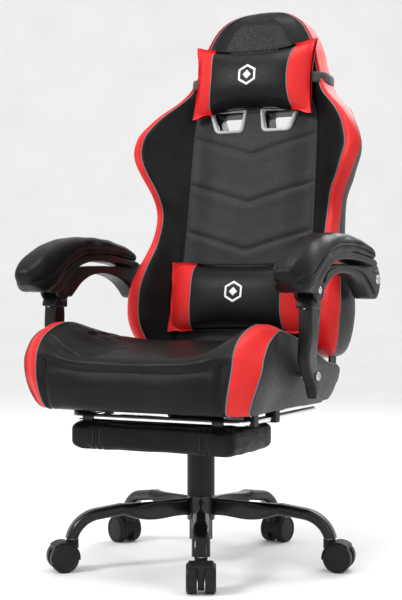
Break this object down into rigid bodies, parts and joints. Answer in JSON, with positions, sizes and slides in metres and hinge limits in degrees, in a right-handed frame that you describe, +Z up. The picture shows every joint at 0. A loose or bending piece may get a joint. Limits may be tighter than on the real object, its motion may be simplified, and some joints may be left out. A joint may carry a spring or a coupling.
{
  "type": "gaming chair",
  "caption": "High-back bucket gaming chair on a star base with castors, linkage armrests, head and lumbar pillows and a pull-out footrest.",
  "frame": {"origin": "on the column axis at the floor", "axes": "+Z up along the column; the chair faces -Y; the sitter's left is +X"},
  "size_m": [0.678, 0.7082, 1.2584],
  "materials": {
    "black_gloss_paint": "gloss",
    "black_nylon": "matte",
    "bright_steel": "satin",
    "black_tube": "satin",
    "black_lever": "satin",
    "grey_steel": "satin",
    "moulded_black": "satin",
    "footrest_chrome": "polished",
    "slot_grey": "satin",
    "black_leather": "satin",
    "red_leather": "satin",
    "pillow_leather": "satin",
    "elastic_strap": "matte"
  },
  "bodies": {
    "base": {"base_hub": "black_gloss_paint", "base_leg_1": "black_gloss_paint", "base_leg_2": "black_gloss_paint", "base_leg_3": "black_gloss_paint", "base_leg_4": "black_gloss_paint", "base_leg_5": "black_gloss_paint", "column_outer_tube": "black_tube", "column_bush": "black_nylon", "thrust_bearing": "bright_steel", "column_cover_lower": "black_nylon"},
    "lift_rod": {"piston_rod": "bright_steel"},
    "mechanism": {"mechanism_housing": "black_tube", "gas_cylinder": "black_tube", "column_cover_upper": "black_nylon", "tilt_pin": "bright_steel", "tilt_spring": "bright_steel"},
    "lift_lever": {"lift_lever": "black_lever"},
    "tilt_knob": {"tilt_knob": "black_nylon"},
    "seat": {"seat_plate": "black_tube", "seat_frame": "black_tube", "seat_pivot_bolts": "bright_steel", "footrest_guides": "black_nylon", "seat_cushion": "black_leather", "seat_bolster_left": "red_leather", "seat_bolster_right": "red_leather"},
    "footrest": {"footrest_tube": "footrest_chrome"},
    "footrest_pad": {"footrest_pad": "black_leather", "footrest_brackets": "black_tube"},
    "backrest": {"back_frame": "black_tube", "arm_rear_bolts": "bright_steel", "back_cushion": "black_leather", "slot_bezels": "slot_grey", "back_bolster_left": "red_leather", "back_bolster_right": "red_leather", "head_pillow": "pillow_leather", "head_strap": "elastic_strap", "lumbar_pillow": "pillow_leather"},
    "recline_lever": {"recline_lever": "black_lever"},
    "caster_1": {"caster_hood_1": "black_nylon", "caster_pins_1": "bright_steel"},
    "wheels_1": {"caster_wheels_1": "black_nylon"},
    "caster_2": {"caster_hood_2": "black_nylon", "caster_pins_2": "bright_steel"},
    "wheels_2": {"caster_wheels_2": "black_nylon"},
    "caster_3": {"caster_hood_3": "black_nylon", "caster_pins_3": "bright_steel"},
    "wheels_3": {"caster_wheels_3": "black_nylon"},
    "caster_4": {"caster_hood_4": "black_nylon", "caster_pins_4": "bright_steel"},
    "wheels_4": {"caster_wheels_4": "black_nylon"},
    "caster_5": {"caster_hood_5": "black_nylon", "caster_pins_5": "bright_steel"},
    "wheels_5": {"caster_wheels_5": "black_nylon"},
    "arm_post_left": {"arm_post_left": "grey_steel"},
    "arm_left": {"arm_link_left": "moulded_black", "arm_pad_left": "black_leather"},
    "arm_post_right": {"arm_post_right": "grey_steel"},
    "arm_right": {"arm_link_right": "moulded_black", "arm_pad_right": "black_leather"}
  },
  "joints": [
    {"name": "caster_swivel_1", "type": "hinge", "parent": "base", "child": "caster_1", "pos_m": [0.12939, -0.25394, 0.069], "axis": [0, 0, 1], "continuous": true},
    {"name": "wheel_spin_1", "type": "hinge", "parent": "caster_1", "child": "wheels_1", "pos_m": [0.13892, -0.27265, 0.03], "axis": [0.891, 0.454, 0], "continuous": true},
    {"name": "caster_swivel_2", "type": "hinge", "parent": "base", "child": "caster_2", "pos_m": [0.28149, 0.04458, 0.069], "axis": [0, 0, 1], "continuous": true},
    {"name": "wheel_spin_2", "type": "hinge", "parent": "caster_2", "child": "wheels_2", "pos_m": [0.30223, 0.04787, 0.03], "axis": [-0.1564, 0.9877, 0], "continuous": true},
    {"name": "caster_swivel_3", "type": "hinge", "parent": "base", "child": "caster_3", "pos_m": [0.04458, 0.28149, 0.069], "axis": [0, 0, 1], "continuous": true},
    {"name": "wheel_spin_3", "type": "hinge", "parent": "caster_3", "child": "wheels_3", "pos_m": [0.04787, 0.30223, 0.03], "axis": [-0.9877, 0.1564, 0], "continuous": true},
    {"name": "caster_swivel_4", "type": "hinge", "parent": "base", "child": "caster_4", "pos_m": [-0.25394, 0.12939, 0.069], "axis": [0, 0, 1], "continuous": true},
    {"name": "wheel_spin_4", "type": "hinge", "parent": "caster_4", "child": "wheels_4", "pos_m": [-0.27265, 0.13892, 0.03], "axis": [-0.454, -0.891, 0], "continuous": true},
    {"name": "caster_swivel_5", "type": "hinge", "parent": "base", "child": "caster_5", "pos_m": [-0.20153, -0.20153, 0.069], "axis": [0, 0, 1], "continuous": true},
    {"name": "wheel_spin_5", "type": "hinge", "parent": "caster_5", "child": "wheels_5", "pos_m": [-0.21638, -0.21638, 0.03], "axis": [0.7071, -0.7071, 0], "continuous": true},
    {"name": "seat_swivel", "type": "hinge", "parent": "base", "child": "lift_rod", "pos_m": [0, 0, 0.06], "axis": [0, 0, 1], "continuous": true},
    {"name": "seat_height", "type": "slide", "parent": "lift_rod", "child": "mechanism", "axis": [0, 0, 1], "range_m": [0, 0.08]},
    {"name": "lift_lever_pull", "type": "hinge", "parent": "mechanism", "child": "lift_lever", "pos_m": [-0.044, 0.012, 0.302], "axis": [0, 1, 0], "range_deg": [0, 4], "stiffness_Nm_per_rad": 3, "springref_deg": -17.19},
    {"name": "tilt_knob_turn", "type": "hinge", "parent": "mechanism", "child": "tilt_knob", "pos_m": [0, 0.082, 0.28], "axis": [0, 0, 1], "continuous": true},
    {"name": "seat_tilt", "type": "hinge", "parent": "mechanism", "child": "seat", "pos_m": [0, -0.02, 0.322], "axis": [-1, 0, 0], "range_deg": [0, 10], "stiffness_Nm_per_rad": 150, "springref_deg": -22.92, "deforming": ["tilt_spring"]},
    {"name": "recline", "type": "hinge", "parent": "seat", "child": "backrest", "pos_m": [0, 0.23, 0.41], "axis": [-1, 0, 0], "range_deg": [0, 40]},
    {"name": "recline_lever_pull", "type": "hinge", "parent": "seat", "child": "recline_lever", "pos_m": [-0.25, 0.23, 0.41], "axis": [-1, 0, 0], "range_deg": [0, 18], "stiffness_Nm_per_rad": 2.5, "springref_deg": -22.92},
    {"name": "footrest_slide", "type": "slide", "parent": "seat", "child": "footrest", "axis": [0, -1, 0], "range_m": [0, 0.2]},
    {"name": "footrest_flip", "type": "hinge", "parent": "footrest", "child": "footrest_pad", "pos_m": [0, -0.215, 0.328], "axis": [-1, 0, 0], "range_deg": [0, 180]},
    {"name": "arm_post_swing_left", "type": "hinge", "parent": "seat", "child": "arm_post_left", "pos_m": [0.28, -0.05, 0.415], "axis": [-1, 0, 0], "range_deg": [0, 41]},
    {"name": "arm_swing_left", "type": "hinge", "parent": "arm_post_left", "child": "arm_left", "pos_m": [0.3, -0.116, 0.592], "axis": [-1, 0, 0], "range_deg": [-33, 0]},
    {"name": "arm_post_swing_right", "type": "hinge", "parent": "seat", "child": "arm_post_right", "pos_m": [-0.28, -0.05, 0.415], "axis": [-1, 0, 0], "range_deg": [0, 41]},
    {"name": "arm_swing_right", "type": "hinge", "parent": "arm_post_right", "child": "arm_right", "pos_m": [-0.3, -0.116, 0.592], "axis": [-1, 0, 0], "range_deg": [-33, 0]}
  ],
  "couplings": [
    {"joint": "footrest_flip", "follows": "footrest_slide", "rad_per_m": 15.708},
    {"joint": "arm_post_swing_left", "follows": "recline", "ratio": 1.02},
    {"joint": "arm_swing_left", "follows": "recline", "ratio": -0.8},
    {"joint": "arm_post_swing_right", "follows": "recline", "ratio": 1.02},
    {"joint": "arm_swing_right", "follows": "recline", "ratio": -0.8}
  ]
}
